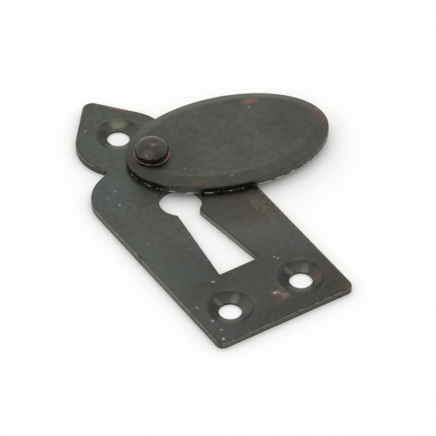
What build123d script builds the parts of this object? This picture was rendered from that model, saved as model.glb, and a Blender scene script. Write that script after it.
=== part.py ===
from build123d import *
import os
from math import acos, asin, atan2, cos, degrees, hypot, radians, sin, tan

# A keyhole escutcheon for a cabinet or drawer. A flat plate with a keyhole ends in a
# leaf, and an oval cover pressed from the same sheet swings over the keyhole on a
# round-headed rivet. The plate lies on its flat back at Z = 0, with the leaf towards +Y.
# The origin is midway between the two lower screw holes, on the back face.
# Lengths are in millimetres and angles in degrees.

# Plate outline. Its length follows from the features down its centre.
plate_width = 32.2
plate_thickness = 1.6
corner_radius = 1.5
shoulder_radius = 9.0
shoulder_slope = 24.0
neck_width = 14.8
neck_softening = 0.3
leaf_width = 19.7
leaf_radius = 9.5
leaf_to_tip = 14.1
tip_radius = 2.1
edge_softening = 0.35

# Screw holes, each at the bottom of a dish that is steep at its mouth and almost flat inside
lower_hole_margin = 8.2
lower_hole_spacing = 17.0
pivot_to_top_hole = 11.7
top_hole_to_tip = 11.95
top_hole_offset = 0.3
screw_hole_radius = 2.4
screw_hole_wall = 0.5
dish_radius = 4.8
dish_mouth_slope = 45.0
dish_softening = 0.3

# Keyhole, with its slot cut a little left of the centreline and its head a little right
keyhole_slot_offset = -0.3
keyhole_head_offset = 0.2
keyhole_head_radius = 4.5
keyhole_foot_width = 9.5
keyhole_slot_width_at_head = 3.9
keyhole_foot_height = 9.3
keyhole_slot_length = 23.0
keyhole_waist_softening = 0.8
keyhole_foot_softening = 0.3
keyhole_edge_softening = 0.25

# Swing cover, an oval of sheet pressed up to a shallow crown inside a sloping border
cover_length = 44.0
cover_width = 27.4
cover_sheet = 1.6
cover_crown = 1.0
cover_border = 2.8
cover_lip = 0.35
cover_edge_softening = 0.4
cover_crown_softening = 4.0
cover_pivot_margin = 5.25
cover_rest_swing = 78.0

# Rivet, with a flattened ball for a head, tucked in over a thin flange. The cover turns on
# its shoulder, and its tail is peened flush at the back.
pivot_offset = 1.2
keyhole_to_pivot = 12.55
rivet_flange_radius = 3.75
rivet_flange_thickness = 0.45
rivet_flange_softening = 0.15
rivet_head_radius = 3.55
rivet_head_rise = 2.15
rivet_girth_height = 0.93
rivet_shoulder_radius = 2.0
rivet_tenon_radius = 1.6
rivet_tail_radius = 2.6
rivet_tail_angle = 90.0
running_clearance = 0.05

# Places that follow from the sizes above
half_width = plate_width / 2
foot_y = -lower_hole_margin
keyhole_head_y = keyhole_foot_height + keyhole_slot_length
pivot_y = keyhole_head_y + keyhole_to_pivot
top_hole_y = pivot_y + pivot_to_top_hole
tip_y = top_hole_y + top_hole_to_tip
leaf_x = leaf_width / 2 - leaf_radius
leaf_y = tip_y - leaf_to_tip
tip_centre_y = tip_y - tip_radius
dish_depth = plate_thickness - screw_hole_wall

# The leaf's flank is the straight line that touches both its side arc and its tip arc
tip_distance = hypot(leaf_x, tip_centre_y - leaf_y)
tip_direction = degrees(atan2(tip_centre_y - leaf_y, -leaf_x))
flank_angle = tip_direction - degrees(acos((leaf_radius - tip_radius) / tip_distance))

# The shoulder's arc ends in a straight slope that runs up to the neck
neck_angle = degrees(acos((neck_width / 2 - leaf_x) / leaf_radius))
neck_y = leaf_y - leaf_radius * sin(radians(neck_angle))
shoulder_arc = 90 - shoulder_slope
shoulder_x = half_width - shoulder_radius
shoulder_end_x = shoulder_x + shoulder_radius * cos(radians(shoulder_arc))
shoulder_end_y = neck_y - (shoulder_end_x - neck_width / 2) * tan(radians(shoulder_slope))
shoulder_y = shoulder_end_y - shoulder_radius * sin(radians(shoulder_arc))

cover_pivot_to_centre = cover_length / 2 - cover_pivot_margin
cover_underside = plate_thickness + running_clearance
rim_height = cover_underside + cover_sheet
cover_top = rim_height + cover_crown
flange_underside = cover_top + running_clearance
flange_top = flange_underside + rivet_flange_thickness
girth_z = flange_top + rivet_girth_height
head_arc = 90 + degrees(asin(rivet_girth_height / rivet_head_rise))
tail_depth = (rivet_tail_radius - rivet_tenon_radius) / tan(radians(rivet_tail_angle / 2))

# The swing is counted from the cover hanging straight down over the keyhole
cover_heading = radians(cover_rest_swing - 90)
cover_plane = Plane(
    origin=(pivot_offset, pivot_y, cover_underside),
    x_dir=(cos(cover_heading), sin(cover_heading), 0),
    z_dir=(0, 0, 1),
)
rivet_plane = Plane(origin=(pivot_offset, pivot_y, 0), x_dir=(1, 0, 0), z_dir=(0, -1, 0))

os.makedirs("parts", exist_ok=True)

# Back plate
with BuildPart() as back_plate:
    with BuildSketch() as plate_outline:
        with BuildLine():
            leaf = CenterArc((leaf_x, leaf_y), leaf_radius, -neck_angle, neck_angle + flank_angle)
            tip = CenterArc((0, tip_centre_y), tip_radius, flank_angle, 90 - flank_angle)
            Line(leaf @ 1, tip @ 0)
            shoulder = CenterArc((shoulder_x, shoulder_y), shoulder_radius, 0, shoulder_arc)
            Line(shoulder @ 1, leaf @ 0)
            Line(shoulder @ 0, (half_width, foot_y))
            mirror(about=Plane.YZ)
            Line((-half_width, foot_y), (half_width, foot_y))
        make_face()
        fillet(plate_outline.vertices().group_by(Axis.Y)[0], corner_radius)
        fillet(plate_outline.vertices().sort_by_distance((0, neck_y))[:2], neck_softening)
    extrude(amount=plate_thickness)
    plate_face = back_plate.faces().sort_by(Axis.Z)[-1]
    fillet(plate_face.outer_wire().edges(), edge_softening)

    with BuildSketch() as keyhole:
        with BuildLine(Plane((keyhole_slot_offset, 0, 0))):
            Polyline(
                (-keyhole_foot_width / 2, keyhole_foot_height),
                (keyhole_foot_width / 2, keyhole_foot_height),
                (keyhole_slot_width_at_head / 2, keyhole_head_y),
                (-keyhole_slot_width_at_head / 2, keyhole_head_y),
                close=True,
            )
        make_face()
        with Locations((keyhole_head_offset, keyhole_head_y)):
            Circle(keyhole_head_radius)
        fillet(keyhole.vertices().sort_by(Axis.Y)[2:4], keyhole_waist_softening)
        fillet(keyhole.vertices().sort_by(Axis.Y)[:2], keyhole_foot_softening)
    extrude(amount=plate_thickness, mode=Mode.SUBTRACT)
    plate_face = back_plate.faces().sort_by(Axis.Z)[-1]
    fillet(plate_face.inner_wires()[0].edges(), keyhole_edge_softening)

    screw_centres = [
        (-lower_hole_spacing / 2, 0, plate_thickness),
        (lower_hole_spacing / 2, 0, plate_thickness),
        (top_hole_offset, top_hole_y, plate_thickness),
    ]
    for centre in screw_centres:
        with BuildSketch(Plane(origin=centre, x_dir=(1, 0, 0), z_dir=(0, -1, 0))):
            with BuildLine():
                dish = TangentArc(
                    (dish_radius, 0),
                    (screw_hole_radius, -dish_depth),
                    tangent=(-1, -tan(radians(dish_mouth_slope))),
                )
                Polyline(dish @ 1, (0, -dish_depth), (0, 0), dish @ 0)
            make_face()
        revolve(axis=Axis(centre, (0, 0, 1)), mode=Mode.SUBTRACT)
    with Locations(screw_centres):
        Hole(screw_hole_radius)
    mouths = back_plate.edges().filter_by(GeomType.CIRCLE).group_by(Axis.Z)[-1]
    fillet(mouths.filter_by(lambda edge: edge.is_closed), dish_softening)

    with Locations(Location((pivot_offset, pivot_y, 0), (180, 0, 0))):
        CounterSinkHole(rivet_tenon_radius, rivet_tail_radius, counter_sink_angle=rivet_tail_angle)

# Swing cover
with BuildPart() as swing_cover:
    with BuildSketch(cover_plane):
        with Locations((cover_pivot_to_centre, 0)):
            Ellipse(cover_length / 2, cover_width / 2)
    extrude(amount=cover_sheet)
    for height, inset in ((cover_sheet, 0), (cover_sheet + cover_crown, cover_border)):
        with BuildSketch(cover_plane.offset(height)):
            with Locations((cover_pivot_to_centre, 0)):
                Ellipse(cover_length / 2 - inset, cover_width / 2 - inset)
    loft()
    for height, inset in ((0, cover_lip), (cover_crown, cover_lip + cover_border)):
        with BuildSketch(cover_plane.offset(height)):
            with Locations((cover_pivot_to_centre, 0)):
                Ellipse(cover_length / 2 - inset, cover_width / 2 - inset)
    loft(mode=Mode.SUBTRACT)
    crown_edge = swing_cover.faces().sort_by(Axis.Z)[-1].outer_wire().edges()
    fillet(crown_edge, cover_crown_softening)
    rim_edge = swing_cover.edges().group_by(SortBy.LENGTH)[-1].sort_by(Axis.Z)[-1]
    fillet(rim_edge, cover_edge_softening)
    with Locations(cover_plane.offset(cover_sheet + cover_crown)):
        Hole(rivet_shoulder_radius + running_clearance)

# Pivot rivet
with BuildPart() as pivot_rivet:
    with BuildSketch(rivet_plane):
        with BuildLine():
            head = EllipticalCenterArc(
                (0, girth_z), rivet_head_radius, rivet_head_rise, 90, arc_size=-head_arc
            )
            Polyline(
                head @ 1,
                (rivet_flange_radius, flange_top),
                (rivet_flange_radius, flange_underside),
                (rivet_shoulder_radius, flange_underside),
                (rivet_shoulder_radius, plate_thickness),
                (rivet_tenon_radius, plate_thickness),
                (rivet_tenon_radius, tail_depth),
                (rivet_tail_radius, 0),
                (0, 0),
                head @ 0,
            )
        make_face()
    revolve(axis=Axis((pivot_offset, pivot_y, 0), (0, 0, 1)))
    flange_rims = pivot_rivet.edges().filter_by(GeomType.CIRCLE).group_by(SortBy.RADIUS)[-1]
    fillet(flange_rims, rivet_flange_softening)

back_plate.part.label = "back_plate"
swing_cover.part.label = "swing_cover"
pivot_rivet.part.label = "pivot_rivet"
export_step(back_plate.part, "parts/back_plate.step")
export_step(swing_cover.part, "parts/swing_cover.step")
export_step(pivot_rivet.part, "parts/pivot_rivet.step")
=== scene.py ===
from math import cos, radians, sin

import bpy
from bpy.props import FloatProperty, FloatVectorProperty, PointerProperty
from mathutils import Matrix, Vector

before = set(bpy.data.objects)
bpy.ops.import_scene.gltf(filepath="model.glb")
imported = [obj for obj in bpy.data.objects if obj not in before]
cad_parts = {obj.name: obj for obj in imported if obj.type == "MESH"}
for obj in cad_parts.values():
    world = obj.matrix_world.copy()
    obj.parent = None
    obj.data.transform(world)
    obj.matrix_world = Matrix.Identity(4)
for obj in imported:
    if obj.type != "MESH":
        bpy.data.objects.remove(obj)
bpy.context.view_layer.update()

bl_info = {
    "name": "Keyhole Escutcheon",
    "version": (1, 0, 0),
    "blender": (4, 5, 0),
    "location": "View3D > Sidebar > Escutcheon",
    "description": "A keyhole plate and its swinging oval cover, in blackened bronze",
    "category": "Object",
}

MM = 0.001


def linear(hex_colour):
    """An sRGB hex colour as linear red, green and blue, by the curve of the sRGB standard."""
    channels = [int(hex_colour[i : i + 2], 16) / 255 for i in (1, 3, 5)]
    return tuple(c / 12.92 if c <= 0.04045 else ((c + 0.055) / 1.055) ** 2.4 for c in channels)


def colour_property(name, description, hex_colour):
    return FloatVectorProperty(
        name=name, description=description, default=linear(hex_colour),
        subtype="COLOR", size=3, min=0, max=1,
    )


def length_property(name, description, millimetres):
    return FloatProperty(
        name=name, description=description, default=millimetres * MM, min=0,
        subtype="DISTANCE", unit="LENGTH",
    )


class StageSettings(bpy.types.PropertyGroup):
    """The floor, the surround and the lamps"""

    floor_size: length_property("Floor", "Width of the pale floor", 6000)
    floor_colour: colour_property("Floor colour", "Matt white board under the object", "#f4f4f2")
    sky_colour: colour_property("Sky colour", "Soft light from all round", "#ffffff")
    sky_strength: FloatProperty(
        name="Sky", description="Strength of the light from all round", default=1.3, min=0,
    )
    front_brightness: FloatProperty(
        name="Front", description="Brightness of the surround in front", default=0.5, min=0, max=1,
    )
    lamp_distance: length_property("Lamp distance", "From the plate to each soft lamp", 600)
    lamp_size: length_property("Lamp size", "Width of each soft lamp's window", 110)
    lamp_power: FloatProperty(
        name="Lamp power", description="Power of each soft lamp", default=0.1, min=0, unit="POWER",
    )


class PatinaSettings(bpy.types.PropertyGroup):
    """The colours of the three pieces"""

    plate_green: colour_property("Plate green", "Green-grey skin of the plate", "#505450")
    plate_brown: colour_property("Plate brown", "Brown-grey patches of the plate", "#514f48")
    cover_grey: colour_property("Cover grey", "Grey skin of the cover", "#52534d")
    cover_brown: colour_property("Cover brown", "Brown-grey patches of the cover", "#504e47")
    rivet_brown: colour_property("Rivet brown", "Dark brown skin of the rivet", "#4c4843")
    # The colour of the pale dashes on the cover's worn lower arris, which paint its glints
    worn_glint: colour_property("Dust", "Pale wax and dust caught under the cover's edge", "#d8d5cc")
    bare_metal: colour_property("Bare metal", "Pale worn metal on the arrises", "#a9a89f")


# A Mix node's sockets for its factor and two colours, and its output for a colour
FACTOR, COLOUR_A, COLOUR_B, MIXED_COLOUR = 0, 6, 7, 2

# Each noise's wavelength in millimetres, detail and roughness. The grit of a real patina is
# under 0.1 mm, too fine to show, so it is drawn as coarse as it needs to show.
NOISES = {
    "mottle": (1.5, 5.0, 0.65),
    "grit": (0.45, 2.0, 0.6),
    "rub": (1.6, 4.0, 0.7),
}
PATCH_DETAIL, PATCH_ROUGHNESS = 4.0, 0.6

# The noise values between which each pattern comes in
PATCH_EDGES = (0.4, 0.64)
MOTTLE_EDGES = (0.3, 0.7)
RUB_EDGES = (0.36, 0.62)
DASH_EDGES = (0.48, 0.55)

# The mottling's darkest and lightest shade, and what it takes from and adds to the roughness
MOTTLE_SHADES = (0.8, 1.2)
SMOOTHER, ROUGHER = 0.05, 0.06

# The skin's waviness: how much deeper the mottling is than the grit, and the grit's depth
MOTTLE_DEPTH = 3.0
GRIT_DEPTH_MM = 0.02

# A mark's edge, from where it starts to where it is full, as shares of its reach, and how far
# the grit moves that edge
SPOT_EDGES = (1.0, 0.35)
GRAIN_SWING = 4.0

# Specks: one in each cell of this spacing, but none in this share of the cells, and the
# largest one's radius as a share of the spacing
SPECK_SPACING_MM = 2.4
SPECKLESS = 0.5
LARGEST_SPECK = 0.11

# Wear is on surfaces whose normal's Z is near this, and fades in over this distance from it
ARRIS_Z = 0.38
ARRIS_EDGES = (0.31, 0.2)


def add_node(tree, kind, inputs=None, **settings):
    """Adds a node with its settings. inputs gives, by name or number, a socket to link or a value."""
    node = tree.nodes.new(kind)
    for name, value in settings.items():
        setattr(node, name, value)
    for name, value in (inputs or {}).items():
        if isinstance(value, bpy.types.NodeSocket):
            tree.links.new(value, node.inputs[name])
        else:
            node.inputs[name].default_value = value
    return node


def new_material(name):
    material = bpy.data.materials.new(name)
    material.use_nodes = True
    material.node_tree.nodes.clear()
    return material


def rgba(colour):
    return (*colour, 1.0)


def waves_per_metre(millimetres):
    """A texture's scale, for waves or cells of that many millimetres."""
    return 1 / (millimetres * MM)


def soft_spot(tree, place, centre, reach, turn=0.0, strength=1.0, grain=None):
    """A mask that is strength at the centre and 0 at its reach, in millimetres. Grain breaks it up."""
    own_axes = add_node(
        tree, "ShaderNodeMapping",
        {
            "Vector": place,
            "Location": [c * MM for c in centre],
            "Rotation": (0, 0, radians(turn)),
            "Scale": [r * MM for r in reach],
        },
        vector_type="TEXTURE",
    )
    distance = add_node(tree, "ShaderNodeVectorMath", {0: own_axes.outputs[0]}, operation="LENGTH")
    away = distance.outputs["Value"]
    if grain is not None:
        swung = add_node(
            tree, "ShaderNodeMath", {0: grain, 1: GRAIN_SWING, 2: away}, operation="MULTIPLY_ADD",
        )
        centred = add_node(
            tree, "ShaderNodeMath", {0: swung.outputs[0], 1: GRAIN_SWING / 2}, operation="SUBTRACT",
        )
        away = centred.outputs[0]
    fade = add_node(
        tree, "ShaderNodeMapRange",
        {"Value": away, "From Min": SPOT_EDGES[0], "From Max": SPOT_EDGES[1], "To Max": strength},
        interpolation_type="SMOOTHSTEP",
    )
    return fade.outputs["Result"]


def specks(tree, place, strength):
    """A mask of small round chips in the skin, at random places and sizes."""
    cells = add_node(
        tree, "ShaderNodeTexVoronoi", {"Vector": place, "Scale": waves_per_metre(SPECK_SPACING_MM)},
    )
    random = add_node(tree, "ShaderNodeSeparateColor", {0: cells.outputs["Color"]})
    radius = add_node(
        tree, "ShaderNodeMapRange",
        {"Value": random.outputs[0], "From Min": SPECKLESS, "From Max": 1.0, "To Max": LARGEST_SPECK},
    )
    inside = add_node(
        tree, "ShaderNodeMath", {0: radius.outputs["Result"], 1: cells.outputs["Distance"]},
        operation="GREATER_THAN",
    )
    mask = add_node(tree, "ShaderNodeMath", {0: inside.outputs[0], 1: strength}, operation="MULTIPLY")
    return mask.outputs[0]


def rubbed_arrises(tree, normal, rub, strength):
    """A mask of the arrises, where the surface has turned well away from the face, in broken lengths."""
    facing = add_node(tree, "ShaderNodeSeparateXYZ", {0: normal})
    offset = add_node(
        tree, "ShaderNodeMath", {0: facing.outputs["Z"], 1: ARRIS_Z}, operation="SUBTRACT",
    )
    distance = add_node(tree, "ShaderNodeMath", {0: offset.outputs[0]}, operation="ABSOLUTE")
    arris = add_node(
        tree, "ShaderNodeMapRange",
        {"Value": distance.outputs[0], "From Min": ARRIS_EDGES[0], "From Max": ARRIS_EDGES[1]},
        interpolation_type="SMOOTHSTEP",
    )
    lengths = add_node(
        tree, "ShaderNodeMapRange",
        {"Value": rub, "From Min": RUB_EDGES[0], "From Max": RUB_EDGES[1], "To Max": strength},
        interpolation_type="SMOOTHSTEP",
    )
    mask = add_node(
        tree, "ShaderNodeMath", {0: arris.outputs["Result"], 1: lengths.outputs["Result"]},
        operation="MULTIPLY",
    )
    return mask.outputs[0]


def glint_dashes(tree, place, rub, full_height, end_height, strength):
    """A mask of short pale dashes along the foot of a piece, between two heights in millimetres, for
    worn metal with painted glints.
    """
    position = add_node(tree, "ShaderNodeSeparateXYZ", {0: place})
    foot = add_node(
        tree, "ShaderNodeMapRange",
        {
            "Value": position.outputs["Z"], "From Min": end_height * MM, "From Max": full_height * MM,
            "To Max": strength,
        },
    )
    dashes = add_node(
        tree, "ShaderNodeMapRange", {"Value": rub, "From Min": DASH_EDGES[0], "From Max": DASH_EDGES[1]},
    )
    mask = add_node(
        tree, "ShaderNodeMath", {0: foot.outputs["Result"], 1: dashes.outputs["Result"]},
        operation="MULTIPLY",
    )
    return mask.outputs[0]


def blackened_bronze(name, skin, finish):
    """Bronze sheet, blackened with a chemical patina, handled and waxed. It gives a dark skin with
    a soft sheen, slow changes of hue, fine mottling, pale specks and paler, rubbed arrises."""
    material = new_material(name)
    tree = material.node_tree
    coordinates = add_node(tree, "ShaderNodeTexCoord")
    place = coordinates.outputs["Object"]
    noise = {}
    patch_noise = (finish["patch_size"], PATCH_DETAIL, PATCH_ROUGHNESS)
    for pattern, (wavelength, detail, roughness) in {"patch": patch_noise, **NOISES}.items():
        texture = add_node(
            tree, "ShaderNodeTexNoise",
            {
                "Vector": place, "Scale": waves_per_metre(wavelength),
                "Detail": detail, "Roughness": roughness,
            },
        )
        noise[pattern] = texture.outputs["Fac"]

    # The main skin, with slow changes of hue and fine mottling, lighter and darker
    patches = add_node(
        tree, "ShaderNodeMapRange",
        {"Value": noise["patch"], "From Min": PATCH_EDGES[0], "From Max": PATCH_EDGES[1]},
        interpolation_type="SMOOTHSTEP",
    )
    hue = add_node(
        tree, "ShaderNodeMix",
        {FACTOR: patches.outputs["Result"], COLOUR_A: rgba(skin["main"]), COLOUR_B: rgba(skin["patch"])},
        data_type="RGBA",
    )
    shade = add_node(
        tree, "ShaderNodeMapRange",
        {
            "Value": noise["mottle"], "From Min": MOTTLE_EDGES[0], "From Max": MOTTLE_EDGES[1],
            "To Min": MOTTLE_SHADES[0], "To Max": MOTTLE_SHADES[1],
        },
    )
    mottled = add_node(
        tree, "ShaderNodeVectorMath", {0: hue.outputs[MIXED_COLOUR], "Scale": shade.outputs["Result"]},
        operation="SCALE",
    )

    # Masks and tints that lie over the skin, the first one lowest
    layers = []
    for tint, centre, reach, turn, strength, broken in finish["marks"]:
        grain = noise["grit"] if broken else None
        layers.append((soft_spot(tree, place, centre, reach, turn, strength, grain), linear(tint)))
    layers.append((specks(tree, place, finish["specks"]), skin["bare"]))
    if "wear" in finish:
        wear = rubbed_arrises(tree, coordinates.outputs["Normal"], noise["rub"], finish["wear"])
        if "unworn" in finish:
            guarded = soft_spot(tree, place, *finish["unworn"])
            exposed = add_node(tree, "ShaderNodeMath", {0: 1.0, 1: guarded}, operation="SUBTRACT")
            worn = add_node(
                tree, "ShaderNodeMath", {0: exposed.outputs[0], 1: wear}, operation="MULTIPLY",
            )
            wear = worn.outputs[0]
        layers.append((wear, skin["bare"]))

    # The pale dashes on the foot, worn metal with painted glints, are not metal, so they stay pale
    # whatever they reflect
    metallic = 1.0
    if "glinting_foot" in finish:
        glints = glint_dashes(tree, place, noise["rub"], *finish["glinting_foot"])
        layers.append((glints, skin["worn_glint"]))
        clean = add_node(tree, "ShaderNodeMath", {0: 1.0, 1: glints}, operation="SUBTRACT")
        metallic = clean.outputs[0]

    colour = mottled.outputs[0]
    for mask, tint in layers:
        mix = add_node(
            tree, "ShaderNodeMix", {FACTOR: mask, COLOUR_A: colour, COLOUR_B: rgba(tint)},
            data_type="RGBA",
        )
        colour = mix.outputs[MIXED_COLOUR]

    # The sheen is uneven with the mottling, and the skin is slightly wavy
    sheen = add_node(
        tree, "ShaderNodeMapRange",
        {
            "Value": noise["mottle"], "From Min": MOTTLE_EDGES[0], "From Max": MOTTLE_EDGES[1],
            "To Min": finish["roughness"] - SMOOTHER, "To Max": finish["roughness"] + ROUGHER,
        },
    )
    heights = add_node(
        tree, "ShaderNodeMath", {0: noise["mottle"], 1: MOTTLE_DEPTH, 2: noise["grit"]},
        operation="MULTIPLY_ADD",
    )
    bump = add_node(
        tree, "ShaderNodeBump",
        {
            "Height": heights.outputs[0], "Strength": finish["unevenness"],
            "Distance": GRIT_DEPTH_MM * MM,
        },
    )
    shader = add_node(
        tree, "ShaderNodeBsdfPrincipled",
        {
            "Base Color": colour, "Metallic": metallic,
            "Roughness": sheen.outputs["Result"], "Normal": bump.outputs["Normal"],
        },
    )
    add_node(tree, "ShaderNodeOutputMaterial", {"Surface": shader.outputs["BSDF"]})
    return material


def dress(node, material):
    """Gives a carried-over node its finish."""
    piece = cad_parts[node]
    for material_slot in piece.material_slots:
        material_slot.material = material


# Each mark has a tint, a centre, a reach along its own axes, a turn, a strength, and whether the
# grit breaks it up. Lengths are in millimetres and turns in degrees.
COPPER_RED, DULL_RED, RUST_BROWN = "#8a6b5c", "#7c5d5b", "#6b5848"
PALE_SCUFF, DUST = "#b59f90", "#a9a69e"
# The near-black tint paints shade on the dish walls, round the rivet's head and where the cover shadows
# the plate, and darkens other areas
# The pale grey tint paints highlights, and light that walls reflect from the floor
TEAL, OLIVE, DARK_TONE_AND_SHADE, DARK_BROWN, PAINTED_LIGHT = "#4d625a", "#8b8b76", "#2e2d2a", "#42362f", "#93908a"

# The marks in each lower dish, placed from its hole: painted shade on the left wall,
# painted highlights in two streaks by the hole, and painted light on the far and near walls
LOWER_HOLES_X = (-8.5, 8.5)
DISH_MARKS = (
    (DARK_TONE_AND_SHADE, (-2.5, 1.6, 0.5), (3.4, 4.6, 1.3), 35, 0.6, False),
    (PAINTED_LIGHT, (2.2, 3.2, 1.0), (3.4, 2.4, 1.6), -33, 0.22, False),
    (PAINTED_LIGHT, (-0.8, 3.3, 0.9), (0.9, 1.6, 2.0), 20, 0.45, False),
    (PAINTED_LIGHT, (2.5, 2.2, 0.9), (1.1, 1.6, 2.0), -40, 0.6, False),
    (PAINTED_LIGHT, (-1.6, -2.6, 0.7), (4.0, 2.0, 1.0), -33, 0.5, False),
    (PAINTED_LIGHT, (3.5, -1.0, 0.9), (2.6, 3.6, 1.4), -33, 0.25, False),
)
PLATE_MARKS = (
    *(
        (tint, (hole_x + x, y, z), *rest)
        for hole_x in LOWER_HOLES_X
        for tint, (x, y, z), *rest in DISH_MARKS
    ),
    # The dish in the leaf: painted shade on its left wall and painted light on its near side
    (DARK_TONE_AND_SHADE, (-2.2, 58.15, 0.5), (3.4, 4.6, 1.3), 35, 0.6, False),
    (PAINTED_LIGHT, (-1.3, 53.9, 0.7), (4.0, 2.0, 1.0), -33, 0.4, False),
    # Painted light on the keyhole's right wall and on the walls at the foot and left edge of the
    # plate, where they reflect the pale floor
    (PAINTED_LIGHT, (3.0, 20.8, 0.6), (0.9, 17.0, 1.0), 7, 0.85, False),
    (PAINTED_LIGHT, (0.0, -8.3, 0.7), (30.0, 0.8, 1.1), 0, 0.5, False),
    (PAINTED_LIGHT, (-16.2, 16.0, 0.7), (0.8, 42.0, 1.3), 0, 0.35, False),
    # Broad darker and green areas of the face, the cover's shadow painted on the plate, and the
    # leaf dish's olive patina with a painted sheen
    (DARK_TONE_AND_SHADE, (2.0, -3.0, 1.6), (28.0, 22.0, 9.0), 0, 0.36, False),
    (DARK_TONE_AND_SHADE, (-16.1, 22.0, 1.2), (0.6, 1.3, 1.2), 0, 0.9, True),
    (DARK_TONE_AND_SHADE, (-9.0, 12.0, 1.6), (7.5, 13.0, 4.0), 0, 0.22, False),
    # Painted shadow that the cover casts on the plate at rest; it stays when the cover swings away
    (DARK_TONE_AND_SHADE, (10.0, 26.5, 1.6), (13.0, 10.5, 4.0), -19, 0.48, False),
    (TEAL, (-8.5, 44.0, 1.6), (5.0, 5.5, 3.0), 30, 0.3, True),
    (TEAL, (-6.0, 58.0, 1.6), (4.0, 5.5, 3.0), 0, 0.35, True),
    (TEAL, (-12.5, 24.0, 1.6), (4.0, 14.0, 3.0), 0, 0.25, True),
    # Olive patina on the far wall of the leaf's dish, with a painted sheen
    (OLIVE, (2.3, 60.0, 1.0), (2.6, 1.3, 3.0), -33, 0.7, False),
    # Darker brown by the upper left of the keyhole's head
    (DARK_BROWN, (-3.0, 38.0, 1.6), (6.0, 3.4, 2.0), 35, 0.45, True),
    (OLIVE, (13.2, 22.5, 1.6), (1.5, 4.0, 3.0), 0, 0.16, True),
    # Rust-brown along the right edge and corner, and darker along the foot and towards the lower right
    (RUST_BROWN, (16.1, 18.0, 1.3), (0.8, 36.0, 1.6), 0, 0.9, True),
    (RUST_BROWN, (15.6, -7.6, 1.2), (2.2, 1.6, 1.6), 30, 0.7, True),
    (RUST_BROWN, (9.5, 22.0, 1.6), (8.5, 13.0, 3.0), 0, 0.15, True),
    (DARK_TONE_AND_SHADE, (2.0, -6.2, 1.6), (22.0, 2.4, 3.0), 0, 0.3, True),
    (DARK_TONE_AND_SHADE, (13.0, -3.0, 1.6), (5.5, 8.0, 3.0), 0, 0.25, True),
    (RUST_BROWN, (11.95, -1.1, 1.3), (1.5, 0.9, 3.0), 20, 0.6, False),
    # The scuff between the lower holes, chips of dust, and bare copper at the leaf's right edge
    (COPPER_RED, (2.5, -2.0, 1.6), (1.6, 3.0, 3.0), -33, 0.22, True),
    (PALE_SCUFF, (1.5, -1.35, 1.6), (0.8, 0.5, 3.0), -33, 0.6, True),
    (PALE_SCUFF, (2.7, -3.0, 1.6), (0.8, 1.2, 3.0), -33, 0.15, True),
    (DUST, (-14.7, -7.0, 1.5), (0.5, 0.4, 3.0), 30, 0.7, False),
    (DUST, (-13.6, -4.6, 1.6), (0.35, 0.35, 3.0), 0, 0.5, False),
    (DUST, (-7.4, 8.1, 1.6), (0.3, 0.6, 3.0), 57, 0.6, False),
    (DUST, (7.5, 7.0, 1.6), (0.4, 0.4, 3.0), 0, 0.5, False),
    (DUST, (-14.25, 3.35, 1.6), (0.35, 0.8, 3.0), 0, 0.3, False),
    (DUST, (-11.1, 37.8, 1.6), (0.4, 0.4, 3.0), 0, 0.45, False),
    (DUST, (-12.1, 40.5, 1.6), (0.3, 0.3, 3.0), 0, 0.35, False),
    (DUST, (-13.7, -1.5, 1.6), (0.45, 0.45, 3.0), 0, 0.5, False),
    (COPPER_RED, (4.0, 64.5, 1.5), (5.0, 0.8, 3.0), -53.4, 0.85, True),
)
COVER_MARKS = (
    # Darker towards the right end of the cover
    (DARK_TONE_AND_SHADE, (36.0, 38.5, 4.2), (13.0, 11.0, 6.0), -12, 0.2, False),
    (RUST_BROWN, (16.0, 55.3, 3.2), (8.0, 1.2, 2.0), -5, 0.8, True),
    (RUST_BROWN, (39.2, 39.0, 3.2), (1.2, 4.0, 2.0), -10, 0.8, True),
    # Darker round the pivot
    (DARK_TONE_AND_SHADE, (1.2, 44.0, 4.2), (13.0, 10.0, 6.0), -12, 0.3, False),
    # Painted shade round the foot of the rivet's head
    (DARK_TONE_AND_SHADE, (1.2, 44.85, 4.2), (5.6, 5.6, 3.0), 0, 0.12, False),
    (DULL_RED, (27.6, 48.3, 4.2), (2.4, 1.2, 3.0), -12, 0.75, False),
    (RUST_BROWN, (4.8, 33.2, 3.3), (2.2, 1.1, 3.0), -30, 0.5, False),
    (RUST_BROWN, (38.0, 35.6, 3.4), (2.2, 6.5, 3.0), -12, 0.55, True),
)
RIVET_MARKS = (
    # Painted highlight: a soft glow on the lower left of the head
    (PAINTED_LIGHT, (-1.0, 42.8, 6.7), (2.0, 1.4, 1.5), -33, 0.25, False),
    (RUST_BROWN, (1.2, 44.85, 5.15), (9.0, 9.0, 0.8), 0, 0.5, True),
    (COPPER_RED, (2.7, 42.0, 5.2), (1.6, 1.2, 1.0), 20, 0.7, True),
    (PALE_SCUFF, (1.2, 44.85, 4.5), (8.0, 8.0, 0.6), 0, 0.4, True),
)


class ESCUTCHEON_OT_back_plate(bpy.types.Operator):
    """Finish the flat plate"""

    bl_idname = "escutcheon.back_plate"
    bl_label = "Back Plate"

    def execute(self, context):
        patina = context.scene.escutcheon_patina
        skin = {"main": patina.plate_green, "patch": patina.plate_brown, "bare": patina.bare_metal}
        # Rolled sheet, satin and greenish, rubbed paler along its outer arrises and kept dark
        # round the keyhole, where the cover guards it
        finish = {
            "patch_size": 9.0, "roughness": 0.36, "unevenness": 0.6, "specks": 0.45, "wear": 0.6,
            "marks": PLATE_MARKS, "unworn": ((0.0, 22.0, 1.6), (15.0, 32.0, 9.0)),
        }
        dress("back_plate", blackened_bronze("blackened_bronze_plate", skin, finish))
        return {"FINISHED"}


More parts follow.
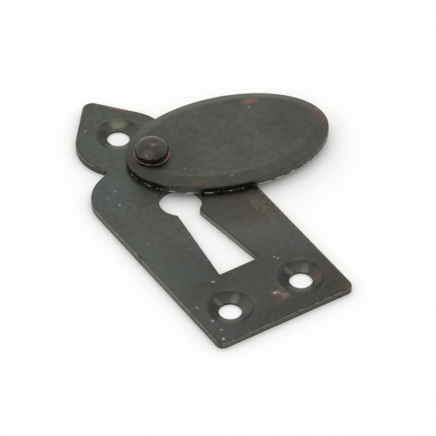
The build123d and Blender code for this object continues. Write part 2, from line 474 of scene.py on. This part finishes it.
class ESCUTCHEON_OT_swing_cover(bpy.types.Operator):
    """Finish the oval cover"""

    bl_idname = "escutcheon.swing_cover"
    bl_label = "Swing Cover"

    def execute(self, context):
        patina = context.scene.escutcheon_patina
        skin = {
            "main": patina.cover_grey, "patch": patina.cover_brown,
            "bare": patina.bare_metal, "worn_glint": patina.worn_glint,
        }
        # Pressed sheet, greyer than the plate and evenly satin, with pale dashes along its worn lower
        # arris that paint its glints
        finish = {
            "patch_size": 7.0, "roughness": 0.38, "unevenness": 0.6, "specks": 0.4, "wear": 0.15,
            "marks": COVER_MARKS, "glinting_foot": (1.8, 2.0, 0.9),
        }
        dress("swing_cover", blackened_bronze("blackened_bronze_cover", skin, finish))
        return {"FINISHED"}


class ESCUTCHEON_OT_pivot_rivet(bpy.types.Operator):
    """Finish the round-headed rivet"""

    bl_idname = "escutcheon.pivot_rivet"
    bl_label = "Pivot Rivet"

    def execute(self, context):
        patina = context.scene.escutcheon_patina
        skin = {"main": patina.rivet_brown, "patch": patina.cover_brown, "bare": patina.bare_metal}
        # A headed rivet, browner and glossier than the sheet because fingers polish it
        finish = {
            "patch_size": 2.5, "roughness": 0.22, "unevenness": 0.3, "specks": 0.2,
            "marks": RIVET_MARKS,
        }
        dress("pivot_rivet", blackened_bronze("blackened_bronze_rivet", skin, finish))
        return {"FINISHED"}


# The camera stands to the left in front of the plate and looks down at it. Its angles are in
# degrees, and its aim is in the object's frame.
CAMERA_AZIMUTH = -33.1
CAMERA_ELEVATION = 42.277
CAMERA_ROLL = 0.429
CAMERA_AIM_MM = (4.76, 25.115, 0.0)
CAMERA_DISTANCE_MM = 1007.9
CAMERA_LENS_MM = 405.66
SENSOR_WIDTH_MM = 36.0

# A wide bright board stands behind the object, in this direction as azimuth and elevation. The
# surround is brightest towards it and grows dimmer overhead and in front, between these values
# of the cosine of the angle from it.
BRIGHT_BOARD = (147.0, 15.0)
BOARD_EDGES = (-0.8, 0.85)

# Each soft lamp's direction from the plate, as azimuth and elevation
LAMP_DIRECTIONS = {"left_lamp": (-69.0, 33.0), "far_lamp": (143.0, 57.0)}

# What is added to the floor as the camera sees it, to bring its white to the photo's white
WHITE_LIFT = 0.03


def direction(azimuth, elevation):
    """From the object towards a place, by azimuth and elevation in degrees. Azimuth 0 is in front."""
    a, e = radians(azimuth), radians(elevation)
    return Vector((sin(a) * cos(e), -cos(a) * cos(e), sin(e)))


def add_camera():
    back = direction(CAMERA_AZIMUTH, CAMERA_ELEVATION)
    level = Vector((cos(radians(CAMERA_AZIMUTH)), sin(radians(CAMERA_AZIMUTH)), 0))
    upright = back.cross(level)
    roll = radians(CAMERA_ROLL)
    right = cos(roll) * level + sin(roll) * upright
    up = back.cross(right)
    turn = Matrix((right, up, back)).transposed().to_euler()
    place = Vector(CAMERA_AIM_MM) * MM + back * CAMERA_DISTANCE_MM * MM
    bpy.ops.object.camera_add(location=place, rotation=turn)
    camera = bpy.context.object
    camera.name = "camera"
    camera.data.sensor_width = SENSOR_WIDTH_MM
    camera.data.lens = CAMERA_LENS_MM
    bpy.context.scene.camera = camera


def add_lamp(name, azimuth, elevation, stage):
    towards = direction(azimuth, elevation)
    aim = Vector(CAMERA_AIM_MM) * MM
    bpy.ops.object.light_add(type="AREA", location=aim + towards * stage.lamp_distance)
    lamp = bpy.context.object
    lamp.name = name
    lamp.rotation_euler = towards.to_track_quat("Z", "Y").to_euler()
    lamp.data.size = stage.lamp_size
    lamp.data.energy = stage.lamp_power


def seen_directly(tree):
    """1 for what the camera sees, straight, in a gloss or through glass, and 0 for other light."""
    path = add_node(tree, "ShaderNodeLightPath")
    seen = path.outputs["Is Camera Ray"]
    for ray in ("Is Glossy Ray", "Is Transmission Ray"):
        either = add_node(tree, "ShaderNodeMath", {0: seen, 1: path.outputs[ray]}, operation="MAXIMUM")
        seen = either.outputs[0]
    return seen


def add_world(stage):
    """A white surround, dimmer overhead and in front, where no board stands."""
    world = bpy.data.worlds.new("white_surround")
    bpy.context.scene.world = world
    world.use_nodes = True
    tree = world.node_tree
    tree.nodes.clear()
    coordinates = add_node(tree, "ShaderNodeTexCoord")
    towards_board = add_node(
        tree, "ShaderNodeVectorMath",
        {0: coordinates.outputs["Generated"], 1: direction(*BRIGHT_BOARD)}, operation="DOT_PRODUCT",
    )
    brightness = add_node(
        tree, "ShaderNodeMapRange",
        {
            "Value": towards_board.outputs["Value"],
            "From Min": BOARD_EDGES[0], "From Max": BOARD_EDGES[1],
            "To Min": stage.front_brightness, "To Max": 1.0,
        },
        interpolation_type="SMOOTHSTEP",
    )
    lighting = add_node(
        tree, "ShaderNodeMath", {0: brightness.outputs["Result"], 1: stage.sky_strength},
        operation="MULTIPLY",
    )
    colour = rgba(stage.sky_colour)
    light = add_node(
        tree, "ShaderNodeBackground", {"Color": colour, "Strength": lighting.outputs[0]},
    )
    seen = add_node(
        tree, "ShaderNodeBackground", {"Color": colour, "Strength": brightness.outputs["Result"]},
    )
    mix = add_node(
        tree, "ShaderNodeMixShader", {0: seen_directly(tree), 1: light.outputs[0], 2: seen.outputs[0]},
    )
    add_node(tree, "ShaderNodeOutputWorld", {"Surface": mix.outputs[0]})


def white_board(stage):
    """Painted board. It gives an even matt white, which keeps the object's shadow."""
    material = new_material("matt_white_board")
    tree = material.node_tree
    matt = add_node(tree, "ShaderNodeBsdfDiffuse", {"Color": rgba(stage.floor_colour)})
    lift = add_node(
        tree, "ShaderNodeEmission",
        {"Strength": seen_directly(tree), "Color": (WHITE_LIFT, WHITE_LIFT, WHITE_LIFT, 1)},
    )
    both = add_node(tree, "ShaderNodeAddShader", {0: matt.outputs[0], 1: lift.outputs[0]})
    add_node(tree, "ShaderNodeOutputMaterial", {"Surface": both.outputs[0]})
    return material


class ESCUTCHEON_OT_stage(bpy.types.Operator):
    """Add the pale floor, the surround, the soft lamps and the camera"""

    bl_idname = "escutcheon.stage"
    bl_label = "Stage"

    def execute(self, context):
        stage = context.scene.escutcheon_stage
        bpy.ops.mesh.primitive_plane_add(size=stage.floor_size)
        floor = context.object
        floor.name = "floor"
        floor.data.materials.append(white_board(stage))
        for name, (azimuth, elevation) in LAMP_DIRECTIONS.items():
            add_lamp(name, azimuth, elevation, stage)
        add_world(stage)
        add_camera()
        context.scene.view_settings.view_transform = "Standard"
        return {"FINISHED"}


class ESCUTCHEON_PT_panel(bpy.types.Panel):
    """Sizes, colours and steps of the keyhole escutcheon"""

    bl_idname = "ESCUTCHEON_PT_panel"
    bl_label = "Keyhole Escutcheon"
    bl_space_type = "VIEW_3D"
    bl_region_type = "UI"
    bl_category = "Escutcheon"

    def draw(self, context):
        layout = self.layout
        for settings in (context.scene.escutcheon_patina, context.scene.escutcheon_stage):
            for name in settings.__annotations__:
                layout.prop(settings, name)
        for operator in STEPS:
            layout.operator(operator.bl_idname)


STEPS = (
    ESCUTCHEON_OT_back_plate,
    ESCUTCHEON_OT_swing_cover,
    ESCUTCHEON_OT_pivot_rivet,
    ESCUTCHEON_OT_stage,
)
CLASSES = (StageSettings, PatinaSettings, *STEPS, ESCUTCHEON_PT_panel)


def register():
    for cls in CLASSES:
        bpy.utils.register_class(cls)
    bpy.types.Scene.escutcheon_stage = PointerProperty(type=StageSettings)
    bpy.types.Scene.escutcheon_patina = PointerProperty(type=PatinaSettings)


def unregister():
    del bpy.types.Scene.escutcheon_patina
    del bpy.types.Scene.escutcheon_stage
    for cls in reversed(CLASSES):
        bpy.utils.unregister_class(cls)


def main():
    register()
    bpy.ops.escutcheon.back_plate()
    bpy.ops.escutcheon.swing_cover()
    bpy.ops.escutcheon.pivot_rivet()
    bpy.ops.escutcheon.stage()


if __name__ == "__main__":
    main()
